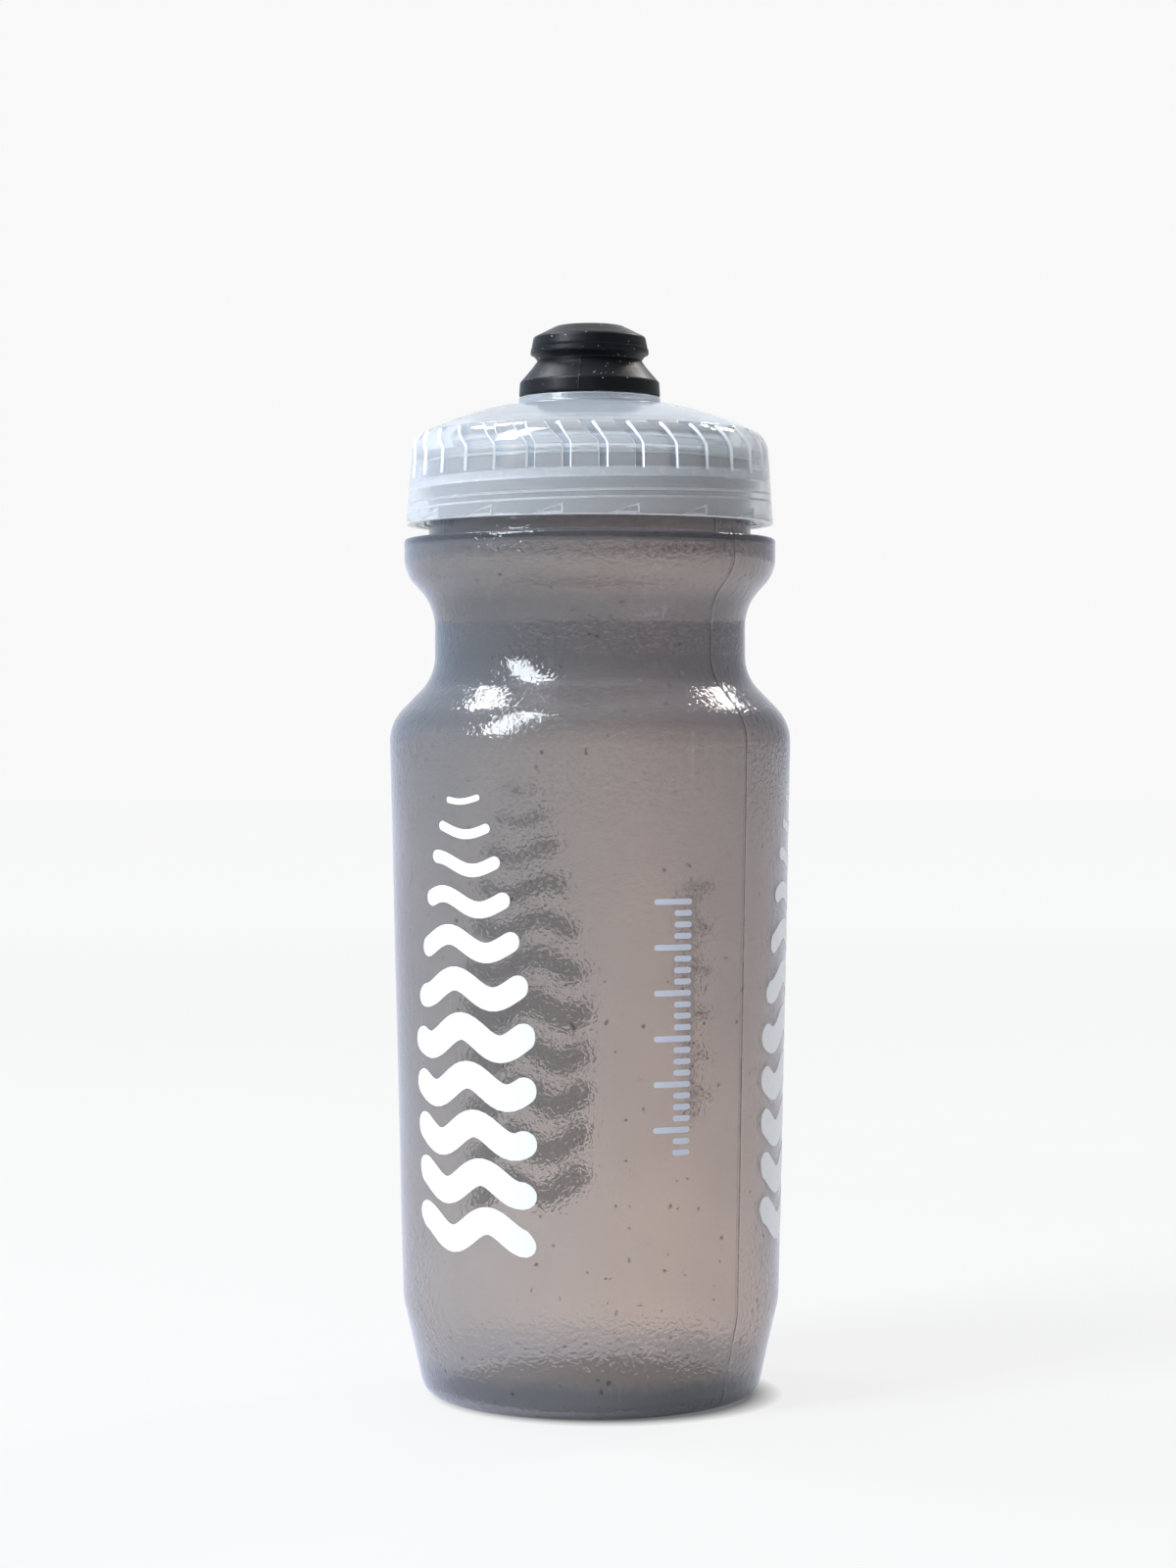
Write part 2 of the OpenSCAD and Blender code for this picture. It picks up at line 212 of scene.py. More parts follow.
def spun(path, angles, shape=None):
    """Points (row, column, xyz) of an outline turned about the axis. shape(r, z, phi) may
    return new r, z and phi for the whole grid."""
    r, z = np.array(path, float).T
    r, z = (np.repeat(v[:, None], len(angles), 1) for v in (r, z))
    phi = np.repeat(np.array(angles)[None, :], len(path), 0)
    if shape:
        r, z, phi = shape(r, z, phi)
    return np.stack([r * np.cos(phi), r * np.sin(phi), z], -1)


def grid_faces(rows, columns, loop):
    """Quads of a grid that closes round its columns, and round its rows too if loop."""
    i, j = np.meshgrid(np.arange(rows if loop else rows - 1), np.arange(columns), indexing="ij")
    i2, j2 = (i + 1) % rows, (j + 1) % columns
    return np.stack([i * columns + j, i * columns + j2, i2 * columns + j2, i2 * columns + j],
                    -1).reshape(-1, 4).tolist()


def make_object(name, points, faces, sharp=35):
    """A smooth-shaded mesh object from points in millimetres."""
    mesh = bpy.data.meshes.new(name)
    mesh.from_pydata((np.asarray(points) * MM).tolist(), [], faces)
    mesh.validate()
    mesh.shade_smooth()
    mesh.set_sharp_from_angle(angle=math.radians(sharp))
    obj = bpy.data.objects.new(name, mesh)
    bpy.context.scene.collection.objects.link(obj)
    return obj


def turned(name, path, angles, shape=None, loop=True):
    """A lathed piece. With loop the outline is a ring's section, otherwise it starts and
    ends on the axis."""
    if loop:
        points = spun(path, angles, shape)
        return make_object(name, points.reshape(-1, 3),
                           grid_faces(len(path), len(angles), True))
    points = spun(path[1:-1], angles, shape)
    rows, columns = points.shape[:2]
    flat = points.reshape(-1, 3)
    faces = grid_faces(rows, columns, False)
    first, last = len(flat), len(flat) + 1
    top = (rows - 1) * columns
    faces += [[first, (j + 1) % columns, j] for j in range(columns)]
    faces += [[last, top + j, top + (j + 1) % columns] for j in range(columns)]
    ends = [[0, 0, path[0][1]], [0, 0, path[-1][1]]]
    return make_object(name, np.vstack([flat, ends]), faces)


def thread_object(name, root_r, crest_r, width, low_z, front_z):
    """A right-hand screw thread from low_z up that crosses the front at front_z. width
    holds its widths at the root and at the crest."""
    side = math.copysign(1, crest_r - root_r)
    steps = round(360 * THREAD_TURNS / THREAD_STEP)
    start = -90 - 360 * (front_z - low_z) / THREAD_PITCH
    soft, edge = THREAD_SOFT, 0.18 * side
    points = []
    for i in range(steps + 1):
        a = i * THREAD_STEP
        share = max(0, min(1, a / THREAD_FADE, (steps * THREAD_STEP - a) / THREAD_FADE))
        share = share * share * (3 - 2 * share)
        crest = root_r + side * soft + (crest_r - root_r - side * soft) * share
        z = low_z + THREAD_PITCH * a / 360
        section = [(root_r, -width[0] / 2), (crest - edge, -width[1] / 2 - soft),
                   (crest, -width[1] / 2 + soft), (crest, width[1] / 2 - soft),
                   (crest - edge, width[1] / 2 + soft), (root_r, width[0] / 2)]
        points += [(r * cos(start + a), r * sin(start + a), z + side * dz) for r, dz in section]
    n = len(section)
    faces = [[n * i + k, n * i + (k + 1) % n, n * (i + 1) + (k + 1) % n, n * (i + 1) + k]
             for i in range(steps) for k in range(n)]
    faces = [f[::-1] for f in faces]
    faces += [list(range(n)), list(range(n * steps, n * steps + n))[::-1]]
    return make_object(name, points, faces)


def box_points(size, centre):
    """The corners of a box, in the order that BOX_FACES takes them."""
    x, y, z = (s / 2 for s in size)
    corners = [(-x, -y, -z), (x, -y, -z), (x, y, -z), (-x, y, -z),
               (-x, -y, z), (x, -y, z), (x, y, z), (-x, y, z)]
    return np.array(corners) + np.array(centre)


BOX_FACES = [[3, 2, 1, 0], [4, 5, 6, 7], [0, 1, 5, 4], [1, 2, 6, 5], [2, 3, 7, 6], [3, 0, 4, 7]]


def about_axis(points, a):
    """The points turned about the axis by a degrees."""
    return np.asarray(points) @ np.array([[cos(a), sin(a), 0], [-sin(a), cos(a), 0], [0, 0, 1]])


def fused(base, others):
    """base joined with the other solids into one closed skin; the others are used up."""
    for other in others:
        joint = base.modifiers.new("join", "BOOLEAN")
        joint.operation, joint.solver, joint.object = "UNION", "MANIFOLD", other
    graph = bpy.context.evaluated_depsgraph_get()
    mesh = bpy.data.meshes.new_from_object(base.evaluated_get(graph))
    base.modifiers.clear()
    old, base.data = base.data, mesh
    bpy.data.meshes.remove(old)
    for other in others:
        bpy.data.objects.remove(other)
    base.data.shade_smooth()
    base.data.set_sharp_from_angle(angle=math.radians(35))
    return base


def columns_round(count, extra=()):
    """Column angles round the axis: even ones, and extra ones in place of any close by."""
    even = np.linspace(-math.pi, math.pi, count, endpoint=False)
    extra = [(a + math.pi) % (2 * math.pi) - math.pi for a in extra]
    keep = [a for a in even if all(abs(a - b) > 0.002 for b in extra)]
    return np.sort(np.array(keep + list(extra)))


# ---- bottle ----

def outer_skin(r, z, phi):
    """Unevenness and parting line of the bottle's outside. The unevenness only goes inwards
    from the true outline, and fades out at the foot and the ledge."""
    share = np.clip((z - 1.5) / 8, 0, 1) * np.clip((LEDGE_Z - 3 - z) / 8, 0, 1)
    seam = seam_ridge(r, phi, SEAM_AZIMUTHS, SEAM_H, SEAM_W) * np.clip(z - 1, 0, 1)
    return r + (ripple(phi, z, 3, OUTER_WAVES) - OUTER_WAVES) * share + seam


def inner_skin(r, z, phi):
    """Unevenness of the bottle's inside, which fades out the same way."""
    share = np.clip((z - 6) / 8, 0, 1) * np.clip((LEDGE_Z - 6 - z) / 8, 0, 1)
    return r + ripple(phi, z, 11, INNER_WAVES) * share


def bottle_body():
    """The blown bottle: its outside, its inside and the thread on its neck."""
    punt_r = FOOT_R - FOOT_W
    punt_round = (punt_r ** 2 + PUNT_H ** 2) / (2 * PUNT_H)
    punt_angle = math.degrees(math.asin(punt_r / punt_round))
    outside = filled(
        arc(0, PUNT_H - punt_round, punt_round, 90, 90 - punt_angle, 14)
        + [(punt_r, FOOT_Z), (FOOT_R, FOOT_Z)] + body_line(0)[1:]
        + bevelled([(RING_R, LEDGE_Z - RING_EDGE - 1), (RING_R, LEDGE_Z), (NECK_R, LEDGE_Z),
                    (NECK_R, LIP_Z), (NECK_BORE_R, LIP_Z), (NECK_BORE_R, LIP_Z - 1)],
                   RING_EDGE, 4)[1:-1], 2.2)
    inside = filled(
        [(NECK_BORE_R, LIP_Z - 1), (NECK_BORE_R, LEDGE_Z - WALL_T)]
        + [(RING_R - WALL_T - RING_EDGE, LEDGE_Z - WALL_T),
           (RING_R - WALL_T, LEDGE_Z - WALL_T - RING_EDGE)]
        + body_line(WALL_T)[::-1]
        + arc(0, PUNT_H - punt_round, punt_round + BASE_T, 90 - punt_angle, 90, 14)[1:], 2.2)
    edge = len(outside) - 1

    def shape(r, z, phi):
        row = np.arange(len(r))[:, None]
        return np.where(row < edge, outer_skin(r, z, phi), inner_skin(r, z, phi)), z, phi

    columns = columns_round(240, seam_columns(SEAM_AZIMUTHS, BODY_R, SEAM_STEPS))
    body = turned("bottle_shell", outside + inside[1:], columns, shape, loop=False)
    thread = thread_object("neck_thread", NECK_R - THREAD_ROOT, NECK_THREAD_R, NECK_THREAD_W,
                           NECK_THREAD_LOW_Z, NECK_THREAD_FRONT_Z)
    return fused(body, [thread])


def darken_base(bottle, material):
    """Gives the upper face of the base's plate its own material."""
    bottle.data.materials.append(material)
    plate_r, plate_z = FOOT_R - 0.6, PUNT_H + BASE_T + 0.3
    for face in bottle.data.polygons:
        x, y, z = face.center / MM
        if face.normal.z > 0.5 and z < plate_z and math.hypot(x, y) < plate_r:
            face.material_index = 1


# ---- cap ----

PLAIN, EDGE_HIGHLIGHT, NOTCH_SHADE = 0, 1, 2              # which of the cap's three materials
FLANK, NOTCH_SIDE = -0.9, 0.35               # a face turned further than this is one


def grip_columns():
    """Column angles of one notch after another: close together at the notch's edges."""
    pitch = 360 / GRIP_COUNT
    edges = [NOTCH_OUTER, NOTCH_EDGE, NOTCH_FLOOR, NOTCH_INNER]
    between = np.linspace(2.9, pitch - 2.9, 5)
    offsets = [-e for e in edges] + edges[::-1] + list(between)
    return np.radians([GRIP_START + i * pitch + o for i in range(GRIP_COUNT) for o in offsets])


def grip_shape(outer_rows, normals):
    """Cuts the notches into the cap's grid: upright on the skirt, leaning on the rounding."""
    pitch = math.radians(360 / GRIP_COUNT)

    def shape(r, z, phi):
        rows = (np.arange(len(r))[:, None] < outer_rows) & (z < GRIP_TOP_Z + 0.6)
        lean = np.clip((z - GRIP_BEND_Z) / (GRIP_TOP_Z - GRIP_BEND_Z), 0, 1)
        offset = (phi - math.radians(GRIP_START) + pitch / 2) % pitch - pitch / 2
        inside = np.abs(offset) < math.radians(NOTCH_REACH)
        wide = np.where(rows & inside, 1 + GRIP_WIDEN * lean, 1)
        floor = np.clip((math.radians(NOTCH_EDGE) - np.abs(offset))
                        / math.radians(NOTCH_EDGE - NOTCH_FLOOR), 0, 1)
        ends = np.clip((z - GRIP_LOW_Z) / 0.15, 0, 1) * np.clip((GRIP_TOP_Z - z) / 0.35, 0, 1)
        deep = GRIP_DEPTH * floor * ends * rows
        phi2 = phi + offset * (wide - 1) - np.where(rows, math.radians(GRIP_SKEW) * lean, 0)
        # above the notches the columns are back at their own angles
        phi2 = np.where(z > GRIP_TOP_Z, phi2 + math.radians(GRIP_SKEW) * rows, phi2)
        return r - deep * normals[:, :1], z - deep * normals[:, 1:], phi2

    return shape


def outline_normals(path):
    """Outward unit normals (r, z) of an outline that runs up the outside."""
    p = np.array(path, float)
    d = np.roll(p, -1, 0) - np.roll(p, 1, 0)
    n = np.stack([d[:, 1], -d[:, 0]], 1)
    return n / np.maximum(np.linalg.norm(n, axis=1, keepdims=True), 1e-9)


def skirt_r(z):
    """Radius of the skirt's outside, which widens a little downwards."""
    return CAP_HIGH_R + (CAP_LOW_R - CAP_HIGH_R) * (ROUND_Z - z) / (ROUND_Z - CAP_LOW_Z)


def cap_outside():
    """The cap's section from inside its lower edge, up the outside, to the spout's foot."""
    low = 90 - DOME_LOW
    edge_x = CAP_HIGH_R - CAP_ROUND + CAP_ROUND * cos(low)
    edge_z = ROUND_Z + CAP_ROUND * sin(low)
    dome_x = edge_x - DOME_R * cos(low)
    dome_z = edge_z - DOME_R * sin(low)
    low_edge = bevelled([(CAP_BORE_R, CAP_LOW_Z + 1), (CAP_BORE_R, CAP_LOW_Z),
                         (CAP_LOW_R, CAP_LOW_Z), (skirt_r(CAP_LOW_Z + 1), CAP_LOW_Z + 1)], 0.3)
    notch_low = [(skirt_r(z), z) for z in (GRIP_LOW_Z - 0.15, GRIP_LOW_Z, GRIP_LOW_Z + 0.15)]
    return (filled(low_edge[1:-1] + notch_low, 1.2)
            + filled([notch_low[-1], (CAP_HIGH_R, ROUND_Z)], 0.6)[1:]
            + arc(CAP_HIGH_R - CAP_ROUND, ROUND_Z, CAP_ROUND, 0, low, 22)[1:]
            + arc(dome_x, dome_z, DOME_R, low, 90 - DOME_HIGH, 24)[1:]
            + arc(COLLAR_R + 0.9, COLLAR_Z - 0.9, 0.9, 250, 180, 5)
            + bevelled([(COLLAR_R, COLLAR_Z - 0.8), (COLLAR_R, COLLAR_Z),
                        (TUBE_R, COLLAR_Z)], 0.25)[1:-1])


def cap_outline():
    """The cap's whole section as one ring: up the outside, over, down the spout and back.
    Also how many of its points are on the outside."""
    outer = cap_outside()
    ceiling = COLLAR_Z - CAP_WALL
    spout = [(TUBE_R, COLLAR_Z), (TUBE_R, BEAD_Z), (BEAD_R, BEAD_Z), (BEAD_R, GROOVE_Z),
             (GROOVE_R, GROOVE_Z), (GROOVE_R, GROOVE_Z + GROOVE_H),
             (BEAD_R, GROOVE_Z + GROOVE_H), (BEAD_R, TUBE_TOP_Z),
             (TUBE_BORE_R, TUBE_TOP_Z), (TUBE_BORE_R, ceiling)]
    rib_in_r = RIB_R - RIB_W
    inner = [(COLLAR_BORE_R, ceiling), (COLLAR_BORE_R, ceiling - 1.2),
             (COLLAR_R + 3, ceiling - 2), (rib_in_r - 0.6, DOME_IN_Z),
             (rib_in_r, SEAL_LAND_Z - RIB_H), (RIB_R, SEAL_LAND_Z - RIB_H),
             (RIB_R, SEAL_LAND_Z), (SEAL_LAND_R, SEAL_LAND_Z),
             (CAP_BORE_R, SEAL_LAND_Z - 1.5), (CAP_BORE_R, CAP_LOW_Z + 1)]
    path = outer + bevelled(spout, 0.15, 2) + filled(bevelled(inner, 0.3, 2), 2.0)
    return path, len(outer)


def tooth_outline(inset):
    """A tooth's side view (along the wall, up), moved inwards all round. Its pointed left
    end and its top move in further, so that the rim keeps its width there."""
    slope = TOOTH_H / (2 * TOOTH_HALF)
    left, right, low = -TOOTH_HALF + 3.5 * inset, TOOTH_HALF - inset, inset
    high = TOOTH_H - 1.35 * inset - slope * inset
    return [(left, low), (right, low), (right, high), (left, low + 0.05)]


def ratchet_tooth(index):
    """One ramp tooth inside the cap's lower edge: a rim of even width round its face."""
    root_r, face_r = CAP_BORE_R + TOOTH_DEPTH, CAP_BORE_R - TOOTH_DEPTH
    rings = (face_r, TOOTH_RIM), (face_r, 0.15), (root_r, 0)
    points = [(r, y, CAP_LOW_Z + TOOTH_LIFT + z)
              for r, inset in rings for y, z in tooth_outline(inset)]
    faces = [[3, 2, 1, 0], [8, 9, 10, 11]]
    faces += [[ring + k, ring + (k + 1) % 4, ring + 4 + (k + 1) % 4, ring + 4 + k]
              for ring in (0, 4) for k in range(4)]
    points = about_axis(points, TOOTH_START + index * 360 / TOOTH_COUNT)
    return make_object(f"tooth_{index}", points, faces)


def on_tooth_rim(x, y, z):
    """Whether a place in the cap's bore is on a tooth but not on the middle of its face."""
    pitch = 360 / TOOTH_COUNT
    turn = math.degrees(math.atan2(y, x)) - TOOTH_START
    along = CAP_BORE_R * math.radians((turn + pitch / 2) % pitch - pitch / 2)
    (left, low), (right, _), (_, high), _ = tooth_outline(TOOTH_RIM)
    up = z - CAP_LOW_Z - TOOTH_LIFT
    under = low + (high - low) * (along - left) / (right - left)
    middle = left < along < right and low < up < under
    return not middle


def plug_and_spokes():
    """The pin that closes the nozzle, on three spokes inside the spout tube."""
    pin = [(0, SPOKE_Z), (PLUG_PIN_R, SPOKE_Z), (PLUG_PIN_R, PLUG_Z), (PLUG_R, PLUG_Z),
           (PLUG_R, PLUG_TOP_Z - 0.3), (PLUG_R - 0.4, PLUG_TOP_Z), (0, PLUG_TOP_Z)]
    parts = [turned("plug_pin", pin, columns_round(48), loop=False)]
    for i, a in enumerate((90, 210, 330)):
        arm = box_points((TUBE_BORE_R + 0.4, SPOKE_W, SPOKE_H),
                         (TUBE_BORE_R / 2 + 0.2, 0, SPOKE_Z + SPOKE_H / 2))
        parts.append(make_object(f"spoke_{i}", about_axis(arm, a), BOX_FACES))
    return parts


def cap_shell():
    """The screw cap with its thread, its teeth and the closing pin in its spout."""
    path, outer_rows = cap_outline()
    shape = grip_shape(outer_rows, outline_normals(path))
    cap = turned("screw_cap", path, grip_columns(), shape)
    thread = thread_object("cap_thread", CAP_BORE_R + THREAD_ROOT, CAP_THREAD_R, CAP_THREAD_W,
                           CAP_THREAD_LOW_Z, CAP_THREAD_FRONT_Z)
    teeth = [ratchet_tooth(i) for i in range(TOOTH_COUNT)]
    return fused(cap, [thread] + teeth + plug_and_spokes())


def notch_floor(x, y, z):
    """Whether a place on the cap's outside is over the floor of a notch."""
    pitch = 360 / GRIP_COUNT
    lean = max(0, min(1, (z - GRIP_BEND_Z) / (GRIP_TOP_Z - GRIP_BEND_Z)))
    offset = math.degrees(math.atan2(y, x)) + GRIP_SKEW * lean - GRIP_START
    away = abs((offset + pitch / 2) % pitch - pitch / 2)
    return away < NOTCH_FLOOR * (1 + GRIP_WIDEN * lean)


def cap_zone(place, normal):
    """The material of a face of the cap. Faces of the thread's flanks and upper turn, the rims of
    the teeth, the sides of the notches and the lower rim take a painted highlight: whiter plastic
    for the bright lines that these thick and sharp places catch. The notches' floors take painted
    shade, a little darker."""
    x, y, z = place
    r = math.hypot(x, y)
    outward = (normal.x * x + normal.y * y) / r
    sideways = abs(normal.x * y - normal.y * x) / r
    helix = z - THREAD_PITCH * (math.degrees(math.atan2(y, x)) + 90) / 360
    teeth_top_z = CAP_LOW_Z + TOOTH_H + 0.5
    in_bore = CAP_THREAD_R - 0.1 < r < CAP_BORE_R - 0.03
    on_thread = in_bore and teeth_top_z < z < SEAL_LAND_Z - 1.6
    upper_turn = helix > CAP_THREAD_FRONT_Z + THREAD_PITCH / 2
    bright_thread = on_thread and (upper_turn or outward > FLANK)
    tooth_rim = in_bore and z < teeth_top_z and on_tooth_rim(x, y, z)
    in_grip = r > CAP_BORE_R - 3 and GRIP_LOW_Z < z < GRIP_TOP_Z and outward > 0
    notch_side = in_grip and sideways > NOTCH_SIDE
    # painted highlight on the thread, the rims of the teeth, the notches' sides and the lower rim
    if bright_thread or tooth_rim or notch_side or z < CAP_LOW_Z + 0.2:
        return EDGE_HIGHLIGHT
    # painted shade: the notches' floors take a darker plastic
    return NOTCH_SHADE if in_grip and notch_floor(x, y, z) else PLAIN


def paint_highlights_and_shade(cap, edge_highlight_material, notch_shade_material):
    """Gives the cap's edges a painted highlight and the floors of its notches painted shade,
    each as a material of its own.
    """
    cap.data.materials.append(edge_highlight_material)
    cap.data.materials.append(notch_shade_material)
    for face in cap.data.polygons:
        face.material_index = cap_zone(face.center / MM, face.normal)


# ---- nozzle ----

def sleeve_outside():
    """The nozzle's outline: a lower tier, a waist for the teeth and an upper tier."""
    brim_z = SLEEVE_LOW_Z + 2.2
    return (bevelled([(CORE_FLANGE_R, SLEEVE_LOW_Z), (SLEEVE_LOW_R, SLEEVE_LOW_Z),
                      (SLEEVE_LOW_R - 0.1, brim_z)], 0.25)[:-1]
            + arc(SLEEVE_LOW_R - 1, brim_z, 0.85, 0, 48, 8)
            + bevelled([(SLEEVE_WAIST_R + 0.9, SLEEVE_WAIST_Z - 1.3),
                        (SLEEVE_WAIST_R + 0.25, SLEEVE_WAIST_Z - 0.35),
                        (SLEEVE_WAIST_R, SLEEVE_WAIST_Z),
                        (SLEEVE_WAIST_R + 0.35, SLEEVE_WAIST_Z + 0.5),
                        (SLEEVE_HIGH_R - 0.5, SLEEVE_LIP_Z - 0.35)], 0.2)
            + arc(SLEEVE_HIGH_R - 0.4, SLEEVE_LIP_Z, 0.4, -50, 0, 6)
            + bevelled([(SLEEVE_HIGH_R - 0.08, SLEEVE_LIP_Z + 0.75),
                        (SLEEVE_HIGH_R - 0.3, SLEEVE_LIP_Z + 0.85),
                        (SLEEVE_HIGH_R - 0.22, SLEEVE_LIP_Z + 1.05)], 0.06)
            + arc(SLEEVE_HIGH_R - 1.3, SLEEVE_EDGE_Z, 0.8, 5, 60, 8)
            + bevelled([(SLEEVE_FLAT_R + 1.3, SLEEVE_TOP_Z - 0.42),
                        (SLEEVE_FLAT_R, SLEEVE_TOP_Z), (MOUTH_R, SLEEVE_TOP_Z),
                        (MOUTH_R, CORE_TOP_Z)], 0.45, 4)[1:-1])


def nozzle_sleeve():
    """The soft outside of the nozzle, with the room for the insert inside it."""
    outer = filled(sleeve_outside(), 0.5)
    inner = [(MOUTH_R, CORE_TOP_Z), (CORE_TOP_R, CORE_TOP_Z),
             (CORE_R, CORE_TOP_Z - CORE_BEVEL_H), (CORE_R, CORE_FLANGE_Z),
             (CORE_FLANGE_R, CORE_FLANGE_Z)]
    columns = columns_round(160, seam_columns(SLEEVE_SEAMS, SLEEVE_LOW_R, SLEEVE_SEAM_STEPS))

    def shape(r, z, phi):
        outside = (np.arange(len(r))[:, None] < len(outer)) & (r > MOUTH_R + 1)
        uneven = ripple(phi, z * 4, 5, SLEEVE_WAVES) - SLEEVE_WAVES
        seam = seam_ridge(r, phi, SLEEVE_SEAMS, SLEEVE_SEAM_H, SLEEVE_SEAM_W)
        uneven = np.where(outside & (r > CORE_FLANGE_R - 3), uneven, 0)
        seam = np.where(outside & (z < SLEEVE_LIP_Z), seam, 0)
        return r + uneven + seam, z, phi

    return turned("nozzle_rubber", outer + filled(inner, 1.5), columns, shape)


# ---- printed marks ----

INK_LIFT, INK_SINK = 0.05, 0.02              # its two faces, out of and into the wall
PRINT_COUNT = 3                              # times round the body
WAVES_AZIMUTH, WAVES_LOW_Z, WAVE_COUNT, BOLD_WAVES = -128, 34.0, 11, 5
WAVE_PERIOD, WAVE_SHIFT = 17, 0.5            # along the wall, and radians from row to row
SCALE_AZIMUTH, SCALE_LOW_Z, SCALE_HIGH_Z = -66, 48.2, 92.6
STROKE_COUNT, STROKE_W, STROKE_RIGHT, STROKE_LEFT = 23, 1.05, 3.5, 3.9


def skin_radius(z, phi):
    """Radius of the bottle's outside at a height and an angle."""
    line = np.array(body_line(0))
    r = np.interp(z, line[:, 1], line[:, 0])
    return outer_skin(r, z, phi)


class Ink:
    """Thin plates of ink that follow the bottle's wall, gathered into one mesh."""

    def __init__(self, azimuth):
        self.azimuth, self.points, self.faces = math.radians(azimuth), [], []

    def ribbon(self, line, width):
        """A stroke along points (s, z), s to the right along the wall, with round ends."""
        line = np.array(line, float)
        steps = np.linalg.norm(np.diff(line, axis=0), axis=1)
        length = np.concatenate([[0], np.cumsum(steps)])
        from_end = np.minimum(length, length[-1] - length)
        half = np.full(len(line), width / 2)
        near = from_end < width / 2
        inwards = 1 - from_end[near] / (width / 2)
        half[near] = np.sqrt(np.maximum(0.02, 1 - inwards ** 2)) * width / 2
        along = np.gradient(line, axis=0)
        along /= np.linalg.norm(along, axis=1, keepdims=True)
        across = np.stack([-along[:, 1], along[:, 0]], 1)
        columns = np.linspace(-1, 1, 5)
        flat = line[:, None, :] + across[:, None, :] * (half[:, None] * columns)[:, :, None]
        self.plate(flat)

    def plate(self, flat):
        """A plate from a grid of points (s, z) on the wall."""
        rows, columns = flat.shape[:2]
        base, under = len(self.points), rows * columns
        z, phi = flat[..., 1], self.azimuth + flat[..., 0] / BODY_R
        for lift in (INK_LIFT, -INK_SINK):
            r = skin_radius(z, phi) + lift
            points = np.stack([r * np.cos(phi), r * np.sin(phi), z], -1)
            self.points += points.reshape(-1, 3).tolist()

        def at(i, j):
            return base + i * columns + j

        for i in range(rows - 1):
            for j in range(columns - 1):
                quad = [at(i, j), at(i, j + 1), at(i + 1, j + 1), at(i + 1, j)]
                self.faces += [quad[::-1], [v + under for v in quad]]
        rim = ([at(0, j) for j in range(columns)] + [at(i, columns - 1) for i in range(1, rows)]
               + [at(rows - 1, j) for j in range(columns - 2, -1, -1)]
               + [at(i, 0) for i in range(rows - 2, 0, -1)])
        for a, b in zip(rim, rim[1:] + rim[:1]):
            self.faces.append([a, b, b + under, a + under])

    def finished(self, name):
        return make_object(name, self.points, self.faces, 60)


def even_line(a, b, width):
    """Points of a straight stroke, closer together at its round ends."""
    length = math.dist(a, b)
    cap = [width / 2 * (1 - math.cos(t)) for t in np.linspace(0, math.pi / 2, 6)]
    middle = list(np.linspace(width / 2, length - width / 2, max(3, int(length / 1.2))))
    at = cap + middle[1:-1] + [length - c for c in cap[::-1]]
    return [(a[0] + (b[0] - a[0]) * t / length, a[1] + (b[1] - a[1]) * t / length) for t in at]


def wave_figure(index):
    """A stack of rolling waves, bold below, and thinner, shorter and closer above."""
    ink = Ink(WAVES_AZIMUTH + index * 360 / PRINT_COUNT)
    z = WAVES_LOW_Z
    for k in range(WAVE_COUNT):
        fade = max(0, (k - BOLD_WAVES + 1) / (WAVE_COUNT - BOLD_WAVES))     # 1 at the top
        thick = 4.9 - 3.8 * fade
        half = 14.2 - 10.4 * fade ** 1.2
        swell = 1.9 - 1.1 * fade
        straight = even_line((-half, z), (half, z), thick)
        line = [(s, up + swell * math.sin(2 * math.pi * s / WAVE_PERIOD + WAVE_SHIFT * k))
                for s, up in straight]
        ink.ribbon(line, thick)
        z += thick / 2 + 3.7 + max(0.7, 2.45 - 1.7 * fade)
    return ink.finished(f"printed_waves_{index}")


def volume_scale(index):
    """A plain scale of short and long strokes beside the figure."""
    ink = Ink(SCALE_AZIMUTH + index * 360 / PRINT_COUNT)
    for k in range(STROKE_COUNT):
        z = SCALE_LOW_Z + (SCALE_HIGH_Z - SCALE_LOW_Z) * k / (STROKE_COUNT - 1)
        left = -STROKE_LEFT if k % 4 == 2 else 0
        ink.ribbon(even_line((left, z), (STROKE_RIGHT, z), STROKE_W), STROKE_W)
    return ink.finished(f"printed_scale_{index}")


# ---- materials ----

